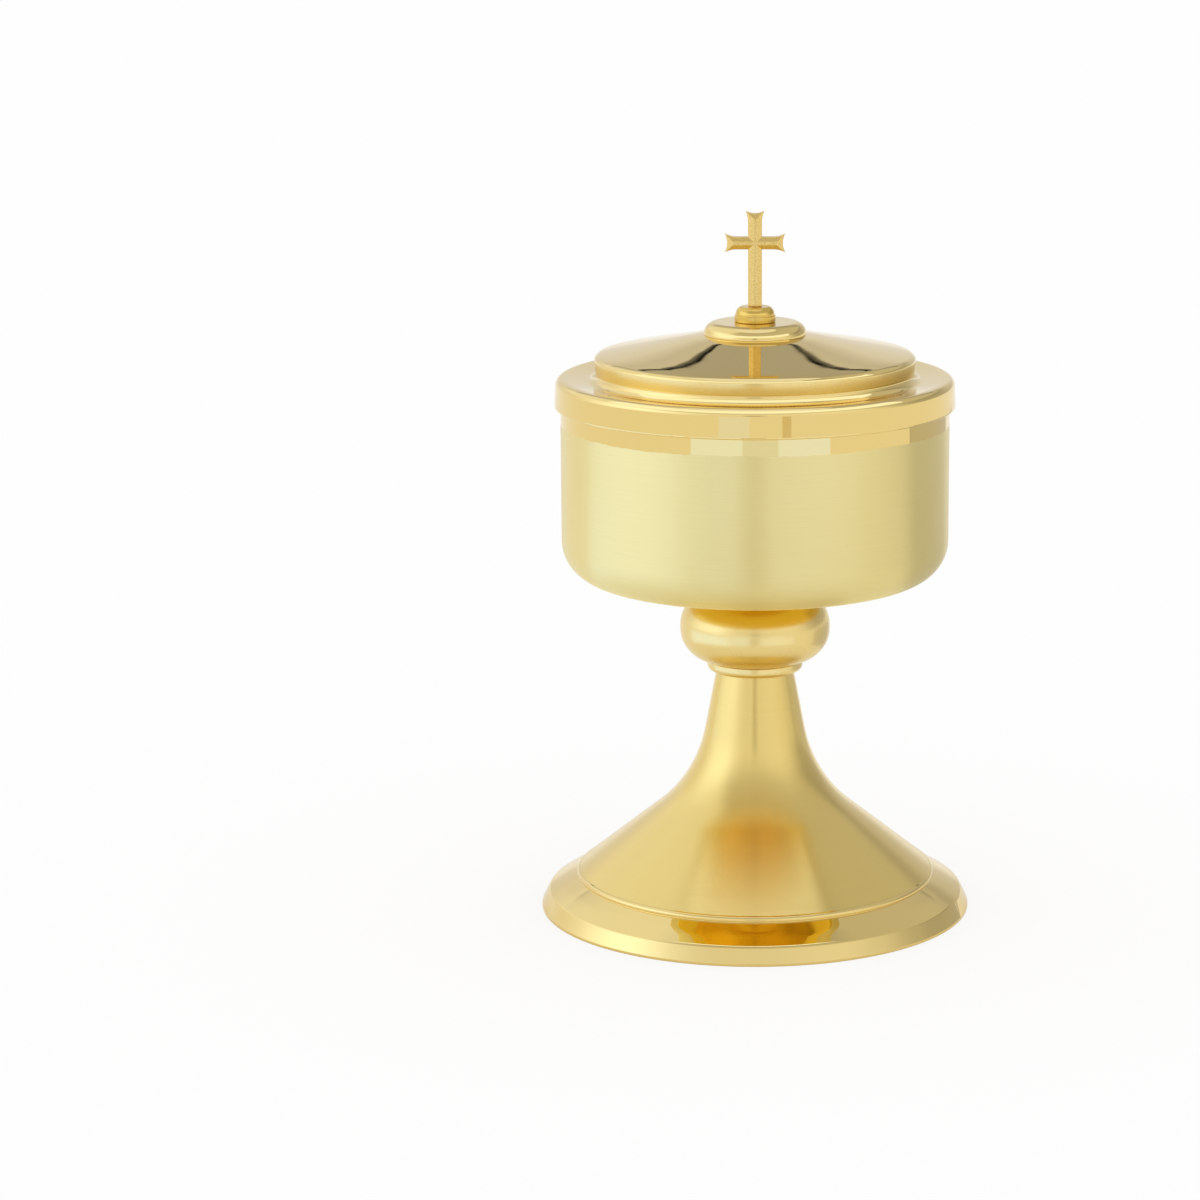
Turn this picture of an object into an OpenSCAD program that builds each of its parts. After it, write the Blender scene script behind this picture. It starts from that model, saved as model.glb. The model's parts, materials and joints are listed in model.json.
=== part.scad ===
// Ciborium: a covered cup on a stem, spun and turned in brass and gold plated.
// The origin is on the table, under the middle of the foot, with +Z up.
// The cross faces -Y. All sizes are in millimetres.

/* [Foot] */
// Diameter of the foot on the table
foot_d = 123.4; // [110:0.1:140]
// Height of the foot, from the table to the seat of the lower collar
foot_h = 69.7; // [60:0.1:80]
// Thickness of the spun sheet of the foot
foot_wall = 1.2; // [0.8:0.1:2]
// Height of the upright edge that stands on the table
edge_h = 0.8; // [0.4:0.1:2]
// Height of the leaning band, from the table to its top
band_h = 4.7; // [4:0.1:7]
// How far the band leans in
band_lean = 1.9; // [0.5:0.1:4]
// Width of the polished bevel, measured level
bevel_w = 8.3; // [5:0.1:10]
// Height that the bevel climbs
bevel_h = 4.8; // [2.5:0.1:6]
// Radius of the bead where the bevel meets the bell
foot_bead_r = 0.85; // [0.3:0.05:1]
// Slope of the bell above the bead, in degrees from upright
bell_angle = 51; // [45:1:56]
// Radius of the sweep from the bell into the neck
sweep_r = 39; // [20:1:45]
// Slope of the neck, in degrees from upright
neck_angle = 10.8; // [5:0.2:14]
// Diameter at the top of the neck
neck_d = 22.1; // [21:0.1:26]

/* [Stem] */
// Largest diameter of a collar
collar_d = 27.3; // [25:0.1:32]
// Diameter of the lower end of a collar
collar_foot_d = 22; // [20:0.1:24]
// Height of the lower collar
lower_collar_h = 3; // [2.6:0.1:5]
// Height of the upper collar
upper_collar_h = 4; // [3.5:0.1:6]
// Height of the upright side of a collar
collar_side_h = 0.9; // [0.5:0.1:2]
// Largest diameter of the knop
knop_d = 42.8; // [36:0.1:50]
// Height of the knop
knop_h = 20.1; // [16:0.1:24]
// Thickness of the wall of the knop
knop_wall = 1.5; // [1:0.1:2.5]

/* [Cup] */
// Outer diameter of the cup
cup_d = 110; // [96:0.5:122]
// Height of the cup, from its underside to its rim
cup_h = 56.7; // [45:0.1:70]
// Thickness of the spun sheet of the cup
cup_wall = 1; // [0.8:0.1:1.6]
// Outer radius of the corner between the floor and the side
cup_corner_r = 11.2; // [6:0.1:16]

/* [Lid] */
// Thickness of the spun sheet of the lid
lid_wall = 1; // [0.8:0.1:1.4]
// Height of the skirt, from its lower edge to the top of the shoulder
skirt_h = 8.2; // [5:0.1:10]
// How far the skirt flares out towards its lower edge
skirt_flare = 0.4; // [0.2:0.05:1]
// Width of the shoulder, from the side of the cup in to the step
shoulder_w = 9.6; // [7:0.1:13]
// Radius in the root of the step
step_root_r = 2.4; // [0.3:0.1:2.4]
// Height of the step, from the shoulder to its rounded edge
step_h = 6; // [4:0.1:9]
// Radius of the rounded edge of the step
step_edge_r = 1.6; // [1.5:0.1:3.2]
// Rise of the dome, from the edge of the step to the seat of the plinth
dome_rise = 6.1; // [5:0.1:12]

/* [Finial] */
// Diameter of the plinth on the lid
plinth_d = 29; // [24:0.1:36]
// Height of the plinth
plinth_h = 3.5; // [2.8:0.1:4.5]
// Radius of the rounded upper edge of the plinth
plinth_edge_r = 2.6; // [1.5:0.1:2.7]
// Largest diameter of the button
button_d = 11.6; // [10:0.1:14]
// Diameter of the flat top of the button
button_top_d = 8.2; // [6.5:0.1:9]
// Height of the button
button_h = 4.3; // [3.6:0.1:7]
// Height of the upright side of the button
button_side_h = 1.9; // [1:0.1:2.6]
// Width of the small step above that side
button_step = 0.3; // [0.1:0.1:0.6]
// Height of the cross above the button
cross_h = 26.9; // [22:0.1:34]
// Span of the arms of the cross
cross_span = 17; // [14:0.5:22]
// Height of the middle of the arms above the button
arm_z = 17.9; // [14:0.1:19]
// Width of the upright of the cross
upright_w = 3.9; // [3.4:0.1:4.6]
// Width of the arms of the cross
arm_w = 3.5; // [3:0.1:4.6]
// Thickness of the cross at its ridge
cross_t = 3.4; // [3:0.1:4.5]
// Thickness of the cross at the tips of its ends
cross_edge_t = 1.1; // [0.8:0.1:1.6]
// Width of the flat along the ridge
ridge_w = 0.9; // [0.5:0.1:1.4]
// Width of the flared ends
flare_w = 5.3; // [4.8:0.1:6.5]
// Length of the flared ends
flare_l = 3.2; // [2.4:0.1:4]
// Depth of the hollow in each end
flare_hollow = 0.7; // [0.3:0.1:1]
// Length of the bevel that falls to each end
end_bevel_l = 2.2; // [1:0.1:3]

/* [Fasteners] */
// Diameter of the tie rod
rod_d = 6; // [5:0.5:7]
// Length of the rod below the nut
rod_tail = 2.5; // [1:0.5:5]
// Thickness of the boss around the rod
boss_wall = 4; // [3:0.5:4.5]
// Height of the boss under the cup
boss_h = 8; // [6.5:0.5:10]
// Thickness of the washer under the neck
foot_washer_t = 1.2; // [0.8:0.1:2]
// Width of the spring washer's section
lock_washer_w = 2.4; // [1.6:0.1:3]
// Thickness of the spring washer
lock_washer_t = 1.5; // [1:0.1:2]
// Width of the split in the spring washer
lock_split = 1; // [0.6:0.1:1.6]
// Thickness of a nut from its bore to its flats
nut_wall = 2; // [1.5:0.1:2.5]
// Height of the nut in the foot
foot_nut_h = 5; // [4:0.5:6]
// Diameter of the threaded tail of the cross
tail_d = 3; // [2.5:0.1:3]
// Diameter of the washer inside the lid
lid_washer_d = 12; // [9:0.5:16]
// Thickness of that washer
lid_washer_t = 0.8; // [0.5:0.1:1.2]
// Thickness of the cap nut from its bore to its flats
cap_nut_wall = 1.3; // [1:0.1:2]
// Height of the hexagon of the cap nut
cap_nut_h = 2.4; // [2:0.1:4]

/* [Fits] */
// Gap between the side of the cup and the skirt of the lid
lid_clearance = 0.3; // [0.2:0.05:0.6]
// Gap around a rod, tail or boss that passes through a hole
hole_clearance = 0.2; // [0.1:0.05:0.4]
// Gap between the edge of the foot's washer and the inside of the neck
washer_clearance = 0.8; // [0.4:0.1:1.5]
// Gap between the end of a thread and what lies beyond it
end_clearance = 0.4; // [0.2:0.1:1]

/* [Hidden] */
$fn = 96;
// Straight pieces in a round stretch of an outline
ARC_STEPS = 12;
FLARE_STEPS = 4;
// How far a cut runs past the face that it cuts
CUT = 1;

// Heights of the stack, from the table up
lower_collar_z = foot_h;
knop_z = lower_collar_z + lower_collar_h;
upper_collar_z = knop_z + knop_h;
cup_z = upper_collar_z + upper_collar_h;
rim_z = cup_z + cup_h;
shoulder_z = rim_z + lid_wall;
step_z = shoulder_z + step_h;
plinth_z = step_z + dome_rise;
button_z = plinth_z + plinth_h;
cross_z = button_z + button_h;

// Heights of the fasteners, down from what they clamp
foot_washer_z = foot_h - foot_wall - foot_washer_t;
lock_washer_z = foot_washer_z - lock_washer_t;
foot_nut_z = lock_washer_z - foot_nut_h;
rod_z = foot_nut_z - rod_tail;
boss_z = cup_z - boss_h;
lid_washer_z = plinth_z - lid_wall - lid_washer_t;
cap_nut_z = lid_washer_z - cap_nut_h;

// Radii that follow from the driving sizes
cup_r = cup_d / 2;
rod_hole_d = rod_d + 2 * hole_clearance;
boss_d = rod_d + 2 * boss_wall;
boss_hole_d = boss_d + 2 * hole_clearance;
tail_hole_d = tail_d + 2 * hole_clearance;
bell_r = foot_d / 2 - band_lean - bevel_w - foot_bead_r;
bell_z = band_h + bevel_h + 2 * foot_bead_r;
knop_ring_r = (knop_d - knop_h) / 2;
skirt_r = cup_r + lid_clearance + lid_wall;
skirt_bend_in_r = lid_clearance / 2;
skirt_bend_r = skirt_bend_in_r + lid_wall;
step_r = cup_r - shoulder_w;
seat_r = plinth_d / 2;
cap_r = tail_d / 2 + cap_nut_wall;

// Points along an arc about a centre, between two angles
function arc(centre, r, from, to) =
    [for (i = [0:ARC_STEPS])
        let (a = from + (to - from) * i / ARC_STEPS)
        centre + r * [cos(a), sin(a)]];

function unit(v) = v / norm(v);
function left_of(v) = [-v[1], v[0]];
function reversed(list) = [for (i = [len(list) - 1:-1:0]) list[i]];

// The outline moved to its left by a distance, with mitred corners
function inset(path, distance) =
    let (last = len(path) - 1)
    [for (i = [0:last])
        let (before = left_of(unit(path[max(i, 1)] - path[max(i, 1) - 1])))
        let (after = left_of(unit(path[min(i, last - 1) + 1] - path[min(i, last - 1)])))
        path[i] + distance * (before + after) / (1 + before * after)];

// A sheet of even thickness, spun about Z from the outline of its outer face
module spun_sheet(outer, wall) {
    rotate_extrude()
        polygon(concat(outer, reversed(inset(outer, wall))));
}

// A round bar bent into a ring about Z
module ring_bead(ring_r, bead_r, z) {
    translate([0, 0, z])
        rotate_extrude()
            translate([ring_r, 0])
                circle(r = bead_r);
}

// A straight hole along Z, cut past both of its ends
module hole(d, z, h) {
    translate([0, 0, z - CUT])
        cylinder(d = d, h = h + 2 * CUT);
}

// A disc or a short tube along Z
module washer(d, bore_d, z, h) {
    difference() {
        translate([0, 0, z])
            cylinder(d = d, h = h);
        hole(bore_d, z, h);
    }
}

// The sweep of the foot: an arc that touches the slope of the bell and the slope of the neck
function sweep_points() =
    let (bell = tan(bell_angle))
    let (neck = tan(neck_angle))
    let (bell_c = bell_r + bell * bell_z)
    let (neck_c = neck_d / 2 + neck * foot_h)
    let (grow = (1 / cos(bell_angle) - 1 / cos(neck_angle)) / (bell - neck))
    let (cross_over = (bell_c - neck_c) / (bell - neck))
    let (top_limit = (foot_h - cross_over) / (grow - sin(neck_angle)))
    let (low_limit = (cross_over - bell_z) / (sin(bell_angle) - grow))
    let (r = min(sweep_r, top_limit, low_limit))
    let (z = cross_over + r * grow)
    let (centre = [neck_c + r / cos(neck_angle) - neck * z, z])
    arc(centre, r, 180 + bell_angle, 180 + neck_angle);

module foot() {
    edge_r = foot_d / 2;
    outer = concat(
        [[edge_r, 0],
         [edge_r, edge_h],
         [edge_r - band_lean, band_h],
         [edge_r - band_lean - bevel_w, band_h + bevel_h],
         [bell_r, bell_z]],
        sweep_points(),
        [[neck_d / 2, foot_h],
         [rod_hole_d / 2, foot_h]]);
    color("gold")
        union() {
            spun_sheet(outer, foot_wall);
            ring_bead(bell_r + foot_bead_r / 2, foot_bead_r, bell_z - foot_bead_r);
        }
}

module foot_washer() {
    neck_in_r = neck_d / 2 - foot_wall / cos(neck_angle);
    color("goldenrod")
        washer(2 * (neck_in_r - washer_clearance), rod_hole_d, foot_washer_z, foot_washer_t);
}

module lock_washer() {
    outer_d = rod_hole_d + 2 * lock_washer_w;
    color("gray")
        difference() {
            washer(outer_d, rod_hole_d, lock_washer_z, lock_washer_t);
            translate([0, -lock_split / 2, lock_washer_z - CUT])
                cube([outer_d, lock_split, lock_washer_t + 2 * CUT]);
        }
}

module foot_nut() {
    across_corners = (rod_d + 2 * nut_wall) / cos(30);
    color("goldenrod")
        difference() {
            translate([0, 0, foot_nut_z])
                cylinder(d = across_corners, h = foot_nut_h, $fn = 6);
            hole(rod_d, foot_nut_z, foot_nut_h);
        }
}

// A turned ring: upright above, rounded in to a smaller foot below
module collar(z, h, bore_d) {
    drop = h - collar_side_h;
    draw = (collar_d - collar_foot_d) / 2;
    r = (draw * draw + drop * drop) / (2 * draw);
    sweep = asin(drop / r);
    side_r = collar_d / 2;
    rounded = arc([side_r - r, drop], r, -sweep, 0);
    color("gold")
        difference() {
            translate([0, 0, z])
                rotate_extrude()
                    polygon(concat([[0, 0]], rounded, [[side_r, h], [0, h]]));
            hole(bore_d, z, h);
        }
}

module lower_collar() {
    collar(lower_collar_z, lower_collar_h, rod_hole_d);
}

module upper_collar() {
    collar(upper_collar_z, upper_collar_h, boss_hole_d);
}

// A disc with a half-round edge, centred on the origin
module round_disc(ring_r, h) {
    union() {
        rotate_extrude()
            translate([ring_r, 0])
                circle(d = h);
        cylinder(r = ring_r, h = h, center = true);
    }
}

module knop() {
    middle_z = knop_z + knop_h / 2;
    color("gold")
        difference() {
            translate([0, 0, middle_z])
                round_disc(knop_ring_r, knop_h);
            translate([0, 0, middle_z])
                round_disc(knop_ring_r, knop_h - 2 * knop_wall);
            hole(rod_hole_d, knop_z, knop_h / 2);
            hole(boss_hole_d, middle_z, knop_h / 2);
        }
}

module cup() {
    corner = [cup_r - cup_corner_r, cup_z + cup_corner_r];
    outer = concat(
        [[0, cup_z]],
        arc(corner, cup_corner_r, -90, 0),
        [[cup_r, rim_z]]);
    color("palegoldenrod")
        spun_sheet(outer, cup_wall);
}

module cup_boss() {
    color("goldenrod")
        washer(boss_d, rod_d, boss_z, boss_h);
}

module tie_rod() {
    color("gray")
        translate([0, 0, rod_z])
            cylinder(d = rod_d, h = cup_z - end_clearance - rod_z);
}

module lid() {
    slope = atan(dome_rise / (step_r - seat_r));
    edge_r = min(step_edge_r, step_h - step_root_r);
    edge_x = step_r - edge_r;
    edge_z = plinth_z - (edge_r + (edge_x - seat_r) * sin(slope)) / cos(slope);
    outer = concat(
        [[skirt_r + skirt_flare, shoulder_z - skirt_h]],
        arc([skirt_r - skirt_bend_r, shoulder_z - skirt_bend_r], skirt_bend_r, 0, 90),
        arc([step_r + step_root_r, shoulder_z + step_root_r], step_root_r, 270, 180),
        arc([edge_x, edge_z], edge_r, 0, 90 - slope),
        [[seat_r, plinth_z],
         [tail_hole_d / 2, plinth_z]]);
    color("gold")
        spun_sheet(outer, lid_wall);
}

module lid_washer() {
    color("goldenrod")
        washer(lid_washer_d, tail_hole_d, lid_washer_z, lid_washer_t);
}

// A hexagon nut with a round cap, the cap hanging down
module lid_nut() {
    color("goldenrod")
        difference() {
            union() {
                translate([0, 0, cap_nut_z])
                    cylinder(r = cap_r / cos(30), h = cap_nut_h, $fn = 6);
                translate([0, 0, cap_nut_z])
                    sphere(r = cap_r);
            }
            translate([0, 0, cap_nut_z])
                cylinder(d = tail_d, h = cap_nut_h + CUT);
        }
}

module lid_plinth() {
    corner = [plinth_d / 2 - plinth_edge_r, plinth_h - plinth_edge_r];
    outline = concat(
        [[0, 0],
         [plinth_d / 2, 0]],
        arc(corner, plinth_edge_r, 0, 90),
        [[0, plinth_h]]);
    color("gold")
        difference() {
            translate([0, 0, plinth_z])
                rotate_extrude()
                    polygon(outline);
            hole(tail_hole_d, plinth_z, plinth_h);
        }
}

module finial_button() {
    side_r = button_d / 2;
    swell_r = side_r - button_step;
    draw = swell_r - button_top_d / 2;
    rise = button_h - button_side_h;
    r = (draw * draw + rise * rise) / (2 * draw);
    outline = concat(
        [[0, 0],
         [side_r, 0],
         [side_r, button_side_h]],
        arc([swell_r - r, button_side_h], r, 0, asin(rise / r)),
        [[0, button_h]]);
    color("gold")
        difference() {
            translate([0, 0, button_z])
                rotate_extrude()
                    polygon(outline);
            hole(tail_hole_d, button_z, button_h);
        }
}

// Half the width of an arm of the cross at a distance along its flare, from 0 to 1
function flare_half(w, share) = (w + (flare_w - w) * share * share) / 2;

// The outline of an arm along X, with a flared and hollowed end
module flared_outline(l, w) {
    side = [for (i = [0:FLARE_STEPS])
        [l - flare_l * (1 - i / FLARE_STEPS), flare_half(w, i / FLARE_STEPS)]];
    hollow = [for (i = [1:2 * FLARE_STEPS - 1])
        let (across = 1 - i / FLARE_STEPS)
        [l - flare_hollow * (1 - across * across), across * flare_w / 2]];
    other_side = [for (p = reversed(side)) [p[0], -p[1]]];
    polygon(concat([[0, w / 2]], side, hollow, other_side, [[0, -w / 2]]));
}

// The bevels along an arm: thick at the ridge, thin at the sides
module ridge_section() {
    side = flare_w / 2;
    ridge = ridge_w / 2;
    thick = cross_t / 2;
    thin = cross_edge_t / 2;
    polygon([[-side, thin], [-ridge, thick], [ridge, thick], [side, thin],
             [side, -thin], [ridge, -thick], [-ridge, -thick], [-side, -thin]]);
}

// The bevel that falls to the end of an arm, in side view
module end_section(l) {
    thick = cross_t / 2;
    thin = cross_edge_t / 2;
    polygon([[0, thick], [l - end_bevel_l, thick], [l, thin],
             [l, -thin], [l - end_bevel_l, -thick], [0, -thick]]);
}

// One flared arm, from the middle of the cross along +X
module flared_arm(l, w) {
    intersection() {
        linear_extrude(height = cross_t, center = true)
            flared_outline(l, w);
        rotate([90, 0, 90])
            linear_extrude(height = l)
                ridge_section();
        rotate([90, 0, 0])
            linear_extrude(height = flare_w, center = true)
                end_section(l);
    }
}

// The plain lower limb, from the middle of the cross along +X
module plain_limb(l, w) {
    intersection() {
        translate([0, -w / 2, -cross_t / 2])
            cube([l, w, cross_t]);
        rotate([90, 0, 90])
            linear_extrude(height = l)
                ridge_section();
    }
}

module finial_cross() {
    color("gold")
        union() {
            translate([0, 0, cross_z + arm_z])
                rotate([90, 0, 0])
                    union() {
                        flared_arm(cross_span / 2, arm_w);
                        rotate([0, 0, 90])
                            flared_arm(cross_h - arm_z, upright_w);
                        rotate([0, 0, 180])
                            flared_arm(cross_span / 2, arm_w);
                        rotate([0, 0, 270])
                            plain_limb(arm_z, upright_w);
                    }
            translate([0, 0, cap_nut_z + end_clearance])
                cylinder(d = tail_d, h = cross_z - cap_nut_z - end_clearance);
        }
}

foot();
foot_washer();
lock_washer();
foot_nut();
lower_collar();
knop();
upper_collar();
cup();
cup_boss();
tie_rod();
lid();
lid_washer();
lid_nut();
lid_plinth();
finial_button();
finial_cross();
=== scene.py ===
# %% [markdown]
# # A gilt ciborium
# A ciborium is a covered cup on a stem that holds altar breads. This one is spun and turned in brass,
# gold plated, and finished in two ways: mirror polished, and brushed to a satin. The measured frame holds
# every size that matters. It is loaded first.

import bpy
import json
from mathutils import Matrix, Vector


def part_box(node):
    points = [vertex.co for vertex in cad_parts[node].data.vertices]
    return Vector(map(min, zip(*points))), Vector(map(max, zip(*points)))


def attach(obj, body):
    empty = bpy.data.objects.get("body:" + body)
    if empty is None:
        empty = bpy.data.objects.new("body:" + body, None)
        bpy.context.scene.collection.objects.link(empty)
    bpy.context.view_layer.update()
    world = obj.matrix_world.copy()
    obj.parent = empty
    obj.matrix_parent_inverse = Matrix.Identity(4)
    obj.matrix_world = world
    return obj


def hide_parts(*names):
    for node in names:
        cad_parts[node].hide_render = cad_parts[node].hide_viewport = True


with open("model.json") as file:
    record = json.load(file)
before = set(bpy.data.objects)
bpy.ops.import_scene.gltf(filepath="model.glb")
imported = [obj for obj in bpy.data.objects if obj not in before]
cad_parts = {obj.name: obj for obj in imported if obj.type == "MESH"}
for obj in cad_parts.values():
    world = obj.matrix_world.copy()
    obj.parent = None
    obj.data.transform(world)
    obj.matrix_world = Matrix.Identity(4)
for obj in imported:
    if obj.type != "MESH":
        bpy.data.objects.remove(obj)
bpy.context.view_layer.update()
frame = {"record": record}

# %% [markdown]
# Blender counts in metres, and a metalworker in millimetres. All sizes below are millimetres, and one
# factor turns them to metres when a mesh is made. Angles are written in degrees. Round pieces ask the
# frame for their bottom, their top and their largest radius.

# %% Sizes from the frame
import json
from collections import namedtuple
from math import atan2, ceil, cos, pi, radians, sin, tan

import bpy
from mathutils import Vector

MM = 0.001
scene = bpy.context.scene
scene.view_settings.view_transform = "Standard"


def reach(node):
    """Bottom, top and largest radius of a round node, in millimetres."""
    low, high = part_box(node)
    return low.z / MM, high.z / MM, high.x / MM


print("height over the cross:", round(reach("finial_cross")[1], 1), "mm")

# %% [markdown]
# ## Camera
# The photograph was taken from a little above, with a long lens, and the object stands right of the
# middle. A shift of the lens moves it there without turning the camera, so that its axis stays upright.

# %% Camera
FRAME_PX = 1200
AXIS_COLUMN_PX = 755
FOCAL_PX = 3849
SENSOR = 36
CAMERA_BACK = 1074
CAMERA_UP = 328.7
LOOK_DOWN = 12.54

camera = bpy.data.objects.new("camera", bpy.data.cameras.new("camera"))
camera.data.sensor_width = SENSOR
camera.data.lens = SENSOR * FOCAL_PX / FRAME_PX
camera.data.shift_x = (FRAME_PX / 2 - AXIS_COLUMN_PX) / FRAME_PX
camera.location = (0, -CAMERA_BACK * MM, CAMERA_UP * MM)
camera.rotation_euler = (radians(90 - LOOK_DOWN), 0, 0)
scene.collection.objects.link(camera)
scene.camera = camera
print("lens:", round(camera.data.lens, 1), "mm")

# %% [markdown]
# ## Node helper and colours
# Every finish below is a small node tree. One function adds a node, sets its properties and fills its
# inputs: an input gets a constant, or a link when the value is the output of another node. Two more use
# it for sums. Colours are written as sRGB hex values, and one function turns them to the linear values
# that shaders use.


# %% Node helper and colours
def add(tree, kind, inputs=None, **settings):
    """Adds a node with its settings; inputs are constants or outputs of other nodes."""
    node = tree.nodes.new(kind)
    for key, value in settings.items():
        setattr(node, key, value)
    for socket, value in (inputs or {}).items():
        if isinstance(value, bpy.types.NodeSocket):
            tree.links.new(value, node.inputs[socket])
        else:
            node.inputs[socket].default_value = value
    return node


def calc(tree, operation, *values):
    """The result of a sum with those values."""
    return add(tree, "ShaderNodeMath", dict(enumerate(values)), operation=operation).outputs[0]


def ranged(tree, value, low, high, start=0, end=1, **settings):
    """A value mapped from the range low to high onto start to end, and held there outside it."""
    limits = {0: value, 1: low, 2: high, 3: start, 4: end}
    return add(tree, "ShaderNodeMapRange", limits, **settings).outputs[0]


def linear(hex_colour):
    """Linear RGBA of an sRGB hex value such as EED389."""
    shares = [int(hex_colour[i:i + 2], 16) / 255 for i in (0, 2, 4)]
    return (*[s / 12.92 if s <= 0.04045 else ((s + 0.055) / 1.055) ** 2.4 for s in shares], 1)


def new_material(name):
    """An empty node material and its tree."""
    material = bpy.data.materials.new(name)
    material.use_nodes = True
    material.node_tree.nodes.clear()
    return material, material.node_tree


print("white is", linear("FFFFFF"))

# %% [markdown]
# ## Studio
# Polished metal has no colour of its own to show: it shows the room. The room here is a plain white one
# with a grey ceiling, drawn as a ramp of greys. Each grey belongs to an angle above the horizon.

# %% Room
ROOM_GREYS = {-90: 0.94, 0: 0.94, 16: 0.92, 26: 0.66, 60: 0.64, 78: 0.4, 90: 0.4}

world = bpy.data.worlds.new("white_room")
scene.world = world
world.use_nodes = True
tree = world.node_tree
tree.nodes.clear()
direction = add(tree, "ShaderNodeTexCoord").outputs["Generated"]
height = add(tree, "ShaderNodeSeparateXYZ", {0: direction}).outputs["Z"]
room = add(tree, "ShaderNodeValToRGB", {0: calc(tree, "MULTIPLY_ADD", height, 0.5, 0.5)})
stops = room.color_ramp.elements
for elevation in list(ROOM_GREYS)[1:-1]:
    stops.new(sin(radians(elevation)) / 2 + 0.5)
for stop, grey in zip(stops, ROOM_GREYS.values()):
    stop.color = (grey, grey, grey, 1)
print("room:", len(stops), "stops of grey from the floor to the ceiling")

# %% [markdown]
# Lamps as objects would show as hard white rectangles in the mirrors, so they are soft patches of the
# room. Each patch brightens or dims the room round one direction: a lamp at the left, a weak one at the
# right, the lit wall behind the camera, dim corners, and the dark cornice that the dome of the lid
# mirrors as a line. A patch is measured as an angle round the room, from the camera's side, and an angle
# up from the horizon. It is whole as far as its first angle across or up, and gone at the second, with a
# smooth step between.

# %% Soft lamps and dim corners
Patch = namedtuple("Patch", "azimuth across across_gone elevation up up_gone change tint")
PATCHES = {
    "left lamp": Patch(-76, 8, 56, 10, 12, 34, 0.8, "B4CCFF"),
    "right lamp": Patch(47, 5, 40, 12, 14, 40, 0.06, "FFFFFF"),
    "wall behind the camera": Patch(0, 50, 100, 26, 8, 12, 0.32, "E0EAFF"),
    "camera": Patch(-0.5, 2.5, 8, 7, 7, 13, -0.3, "FFFFFF"),
    "left ceiling": Patch(-112, 30, 66, 48, 22, 36, 0.48, "DCE8FF"),
    "dim corner at the right": Patch(124, 10, 54, 8, 12, 20, -0.42, "FFFFFF"),
    "wall behind": Patch(180, 16, 34, 14, 8, 12, -0.12, "FFFFFF"),
    "grey ceiling behind": Patch(180, 16, 34, 44, 17, 18, -0.18, "FFFFFF"),
    "dark cornice behind": Patch(180, 16, 30, 26.5, 0.55, 0.95, -0.5, "FFFFFF"),
}


def dot(tree, a, b):
    """Dot product of two vectors."""
    return add(tree, "ShaderNodeVectorMath", {0: a, 1: b}, operation="DOT_PRODUCT").outputs["Value"]


def fade(tree, angle, centre, whole, gone):
    """1 where an angle is near the centre, and 0 where it is far from it."""
    away = calc(tree, "ABSOLUTE", calc(tree, "SUBTRACT", angle, radians(centre)))
    return ranged(tree, away, radians(gone), radians(whole), interpolation_type="SMOOTHSTEP")


bright = room.outputs[0]
lifted = calc(tree, "ARCSINE", height)
for patch in PATCHES.values():
    turn = radians(patch.azimuth)
    ahead = dot(tree, direction, (sin(turn), -cos(turn), 0))
    aside = dot(tree, direction, (cos(turn), sin(turn), 0))
    across = fade(tree, calc(tree, "ARCTAN2", aside, ahead), 0, patch.across, patch.across_gone)
    up = fade(tree, lifted, patch.elevation, patch.up, patch.up_gone)
    mask = calc(tree, "MULTIPLY", across, up)
    change = Vector(linear(patch.tint)[:3]) * patch.change
    lamp = add(tree, "ShaderNodeVectorMath", {0: change, "Scale": mask}, operation="SCALE").outputs[0]
    bright = add(tree, "ShaderNodeVectorMath", {0: bright, 1: lamp}, operation="ADD").outputs[0]
print("patches of the room:", ", ".join(PATCHES))

# %% [markdown]
# Eye and mirror rays see that room. The matt floor gets an even light instead, so that it stays white and
# keeps a soft shadow. The floor is white paper, large enough that its edge is never in view. The eye sees
# it partly as plain white, which makes the shadow fainter, and mirrors see the lit paper as it is.

# %% Light for each kind of ray, and the floor
EVEN_LIGHT = 1.0
FLOOR_SIZE = 16000
PLAIN_WHITE = 0.75

rays = add(tree, "ShaderNodeLightPath").outputs
seen = calc(tree, "ADD", rays["Is Camera Ray"], rays["Is Glossy Ray"])
room_light = add(tree, "ShaderNodeBackground", {"Color": bright}).outputs[0]
even_light = add(tree, "ShaderNodeBackground", {"Color": linear("FFFFFF"), "Strength": EVEN_LIGHT}).outputs[0]
both = add(tree, "ShaderNodeMixShader", {0: seen, 1: even_light, 2: room_light}).outputs[0]
add(tree, "ShaderNodeOutputWorld", {"Surface": both})

paper, tree = new_material("matt_white_paper")
matt = add(tree, "ShaderNodeBsdfDiffuse", {"Color": linear("FBFBFA")}).outputs[0]
white = add(tree, "ShaderNodeEmission", {"Color": linear("FFFFFF")}).outputs[0]
rays = add(tree, "ShaderNodeLightPath").outputs
plain = calc(tree, "MULTIPLY", rays["Is Camera Ray"], PLAIN_WHITE)
both = add(tree, "ShaderNodeMixShader", {0: plain, 1: matt, 2: white}).outputs[0]
add(tree, "ShaderNodeOutputMaterial", {"Surface": both})
half = FLOOR_SIZE / 2 * MM
corners = [(-half, -half, 0), (half, -half, 0), (half, half, 0), (-half, half, 0)]
floor_mesh = bpy.data.meshes.new("floor")
floor_mesh.from_pydata(corners, [], [(0, 1, 2, 3)])
floor_mesh.materials.append(paper)
floor = bpy.data.objects.new("floor", floor_mesh)
scene.collection.objects.link(floor)
print("floor:", FLOOR_SIZE, "mm square")

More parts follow.
